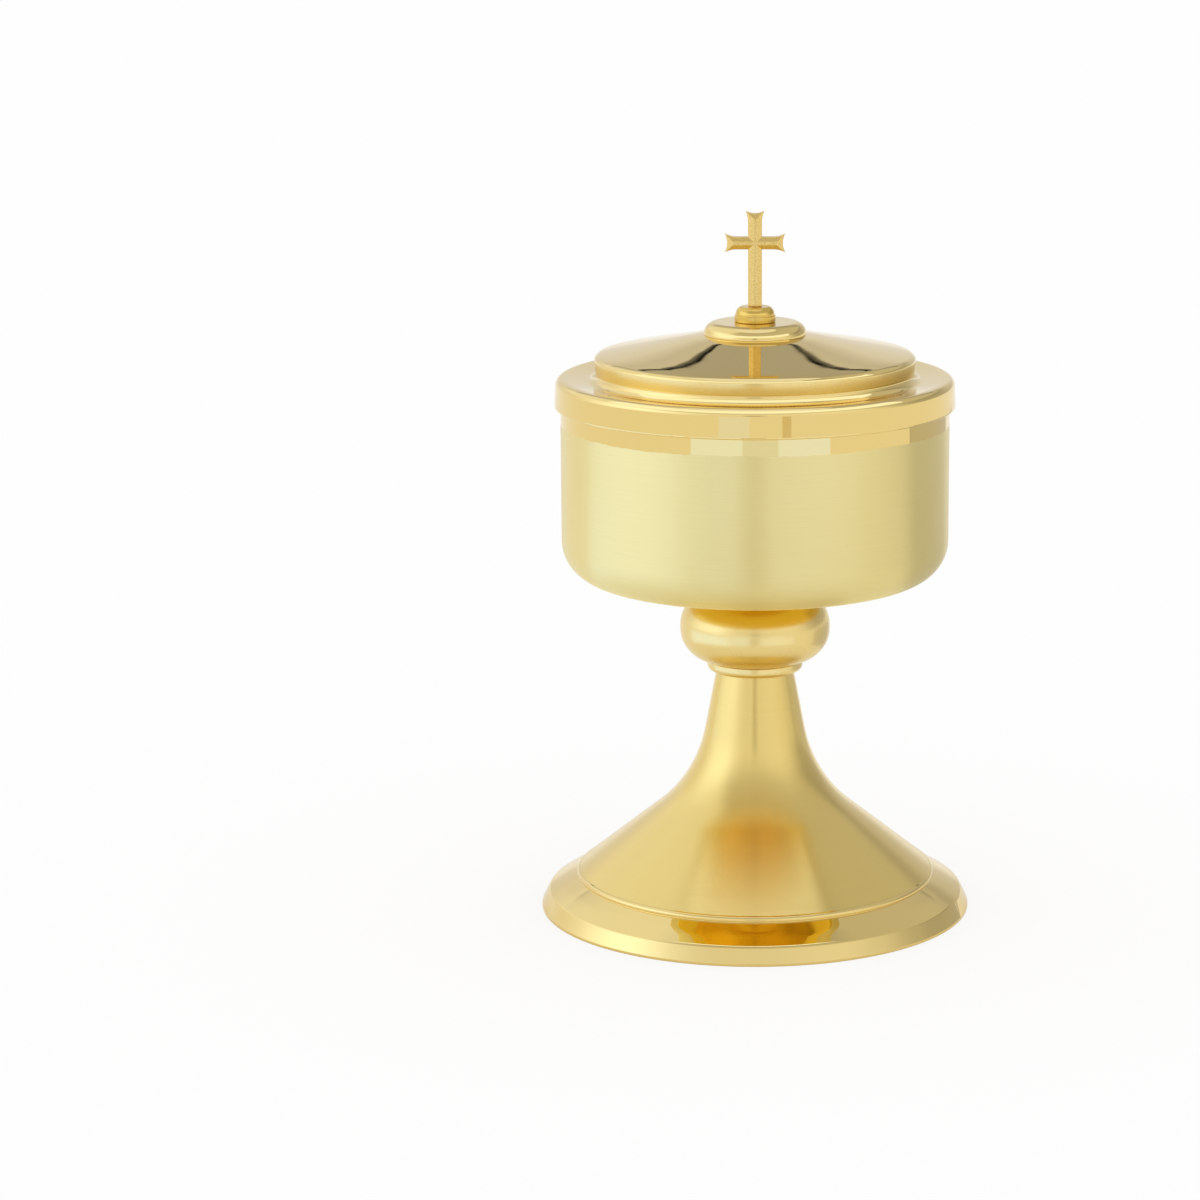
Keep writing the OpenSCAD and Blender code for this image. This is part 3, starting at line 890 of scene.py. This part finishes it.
verts, faces = [], []
limb(verts, faces, CROSS_SPAN / 2, ARM_W, 0, True)
limb(verts, faces, cross_high.z - cross_z - ARM_Z, UPRIGHT_W, pi / 2, True)
limb(verts, faces, CROSS_SPAN / 2, ARM_W, pi, True)
limb(verts, faces, ARM_Z, UPRIGHT_W, -pi / 2, False)
pattern = new_piece("cross_pattern", verts, faces, [CAST])
print("pattern of the cross:", len(faces), "faces in four limbs")

# %% [markdown]
# The pattern is remeshed with modifiers, and only their result is kept.

# %% Casting the cross
MOULD_VOXEL = 0.11
MOULD_SOFTNESS = 0.5
MOULD_SMOOTHING = 6

melt = pattern.modifiers.new("melt", "REMESH")
melt.mode = "VOXEL"
melt.voxel_size = MOULD_VOXEL * MM
melt.use_smooth_shade = True
soften = pattern.modifiers.new("soften", "SMOOTH")
soften.factor = MOULD_SOFTNESS
soften.iterations = MOULD_SMOOTHING
ready = pattern.evaluated_get(bpy.context.evaluated_depsgraph_get())
cast_mesh = bpy.data.meshes.new_from_object(ready)
cast_mesh.name = "finial_cross_cast"
cast_mesh.materials.clear()
cast_mesh.materials.append(CAST)
bpy.data.objects.remove(pattern)
cross = bpy.data.objects.new("finial_cross_cast", cast_mesh)
scene.collection.objects.link(cross)
stand_for(cross, "finial_cross")

# %% [markdown]
# ## Threads
# The cross ends in a threaded tail, and a threaded rod ties the stem. A thread is a helix, which a Screw
# modifier could make. Here it is a height field round a rod instead: the radius falls and rises once for
# each pitch, and the place of the crest turns with the angle, so the ends close cleanly and get a small
# chamfer. The tail starts a little inside the foot of the cross.

# %% Threads
THREAD_SIDES = 48
RINGS_PER_PITCH = 8
THREAD_DEPTH = 0.6
THREAD_SHARP = 50
TAIL_R = 1.5
TAIL_PITCH = 0.5
TAIL_OVERLAP = 0.6
ROD_PITCH = 1


def threaded_rod(name, low, high, radius, pitch, finish):
    """A rod with a V thread of the given pitch."""
    count = ceil((high - low) / pitch * RINGS_PER_PITCH)
    verts, faces = [], []
    for i in range(count + 1):
        z = low + (high - low) * i / count
        chamfered = radius - max(pitch * THREAD_DEPTH - min(z - low, high - z), 0)
        for j in range(THREAD_SIDES):
            turns = z / pitch - j / THREAD_SIDES
            groove = abs(turns % 1 - 0.5) * 2 * THREAD_DEPTH * pitch
            r = min(radius - groove, chamfered)
            a = 2 * pi * j / THREAD_SIDES
            verts.append((r * cos(a), r * sin(a), z))
    for i in range(count):
        for j in range(THREAD_SIDES):
            k = (j + 1) % THREAD_SIDES
            a, b = i * THREAD_SIDES, (i + 1) * THREAD_SIDES
            faces.append((a + j, a + k, b + k, b + j))
    faces.append(tuple(range(THREAD_SIDES))[::-1])
    faces.append(tuple(range(count * THREAD_SIDES, (count + 1) * THREAD_SIDES)))
    piece = new_piece(name, verts, faces, [finish])
    piece.data.set_sharp_from_angle(angle=radians(THREAD_SHARP))
    return piece


tail = threaded_rod("finial_cross_tail", cross_low.z, cross_z + TAIL_OVERLAP, TAIL_R, TAIL_PITCH, CAST)
stand_for(tail, "finial_cross")
rod = threaded_rod("tie_rod_threaded", *reach("tie_rod"), ROD_PITCH, ZINC)
stand_for(rod, "tie_rod")

# %% [markdown]
# ## Nuts
# The stem is pulled together by a hexagon nut inside the foot, and a cap nut inside the lid holds the
# finial. The corners of a hexagon bar are turned off to a cone, which leaves the curved edges of a real
# nut: a ring of points follows the hexagon, and falls where it reaches further than the cone does. The
# rings close on themselves, so the cap nut keeps a pinhole on its axis, too fine to see.

# %% Nuts
NUT_SIDES = 96
NUT_SHARP = 25
CHAMFER_FALL = tan(radians(30))
CHAMFER_R = 0.95
COUNTERSINK = 0.3
CAP_STEPS = 10
PINHOLE_R = 0.05


def hexagon_piece(name, rings, finish):
    """Rings of (radius, z, fall): round without a fall, and with one a hexagon of that half width."""
    verts, faces, starts = [], [], []
    for radius, z, fall in rings:
        starts.append(len(verts))
        for j in range(NUT_SIDES):
            a = 2 * pi * j / NUT_SIDES
            r = radius / cos(a % (pi / 3) - pi / 6) if fall else radius
            verts.append((r * cos(a), r * sin(a), z - fall * (r - CHAMFER_R * radius)))
    for a, b in zip(starts, starts[1:] + starts[:1]):
        for j in range(NUT_SIDES):
            k = (j + 1) % NUT_SIDES
            faces.append((a + j, a + k, b + k, b + j))
    piece = new_piece(name, verts, faces, [finish])
    piece.data.set_sharp_from_angle(angle=radians(NUT_SHARP))
    return piece


low, high, corner_r = reach("foot_nut")
flat_r = corner_r * cos(pi / 6)
bore_r = reach("tie_rod")[2]
nut = hexagon_piece("foot_nut_hexagon", [
    (bore_r, low + COUNTERSINK, 0), (bore_r + COUNTERSINK, low, 0), (CHAMFER_R * flat_r, low, 0),
    (flat_r, low, -CHAMFER_FALL), (flat_r, high, CHAMFER_FALL), (CHAMFER_R * flat_r, high, 0),
    (bore_r + COUNTERSINK, high, 0), (bore_r, high - COUNTERSINK, 0)], BRASS)
stand_for(nut, "foot_nut")

low, high, corner_r = reach("lid_nut")
flat_r = corner_r * cos(pi / 6)
cap_z = low + flat_r
cap_angles = [pi / 2 * i / CAP_STEPS for i in range(1, CAP_STEPS)]
cap = [(flat_r * sin(a), cap_z - flat_r * cos(a), 0) for a in cap_angles]
cap_nut = hexagon_piece("lid_cap_nut", [
    (PINHOLE_R, low, 0), *cap, (flat_r, cap_z, -CHAMFER_FALL), (flat_r, high, CHAMFER_FALL),
    (CHAMFER_R * flat_r, high, 0), (TAIL_R, high, 0), (TAIL_R, cap_z, 0), (PINHOLE_R, cap_z, 0)], BRASS)
stand_for(cap_nut, "lid_nut")

# %% [markdown]
# ## Washers and boss
# A plain washer spreads the load under the top of the neck, a split spring washer keeps the nut tight,
# and a small washer sits under the cap nut. A tapped boss, brazed under the cup, takes the rod. The split
# of the spring washer faces +X, so its radius is read on the other side.

# %% Washers and boss
SMALL_SEGMENTS = 96
WASHER_EDGE = 0.25
SPRING_EDGE = 0.2
SPLIT_GAP = 1
BOSS_CHAMFER = 0.8

for node, hole_r in (("foot_washer", ROD_HOLE_R), ("lid_washer", TAIL_HOLE_R)):
    low, high, washer_r = reach(node)
    washer = lathe(node + "_disc", [
        Corner(hole_r, low), Corner(washer_r, low, WASHER_EDGE),
        Corner(washer_r, high, WASHER_EDGE), Corner(hole_r, high)], [BRASS], segments=SMALL_SEGMENTS)
    stand_for(washer, node)

low, high = reach("lock_washer")[:2]
spring_r = -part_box("lock_washer")[0].x / MM
split = 2 * SPLIT_GAP / (spring_r + ROD_HOLE_R)
spring = lathe("lock_washer_split", [
    Corner(ROD_HOLE_R, low, SPRING_EDGE), Corner(spring_r, low, SPRING_EDGE),
    Corner(spring_r, high, SPRING_EDGE), Corner(ROD_HOLE_R, high, SPRING_EDGE)],
    [ZINC], split=split, segments=SMALL_SEGMENTS)
stand_for(spring, "lock_washer")

low, high, boss_r = reach("cup_boss")
boss = lathe("cup_boss_turned", [
    Corner(bore_r, low), Corner(boss_r - BOSS_CHAMFER, low), Corner(boss_r, low + BOSS_CHAMFER),
    Corner(boss_r, high), Corner(bore_r, high)], [BRASS], segments=SMALL_SEGMENTS)
stand_for(boss, "cup_boss")
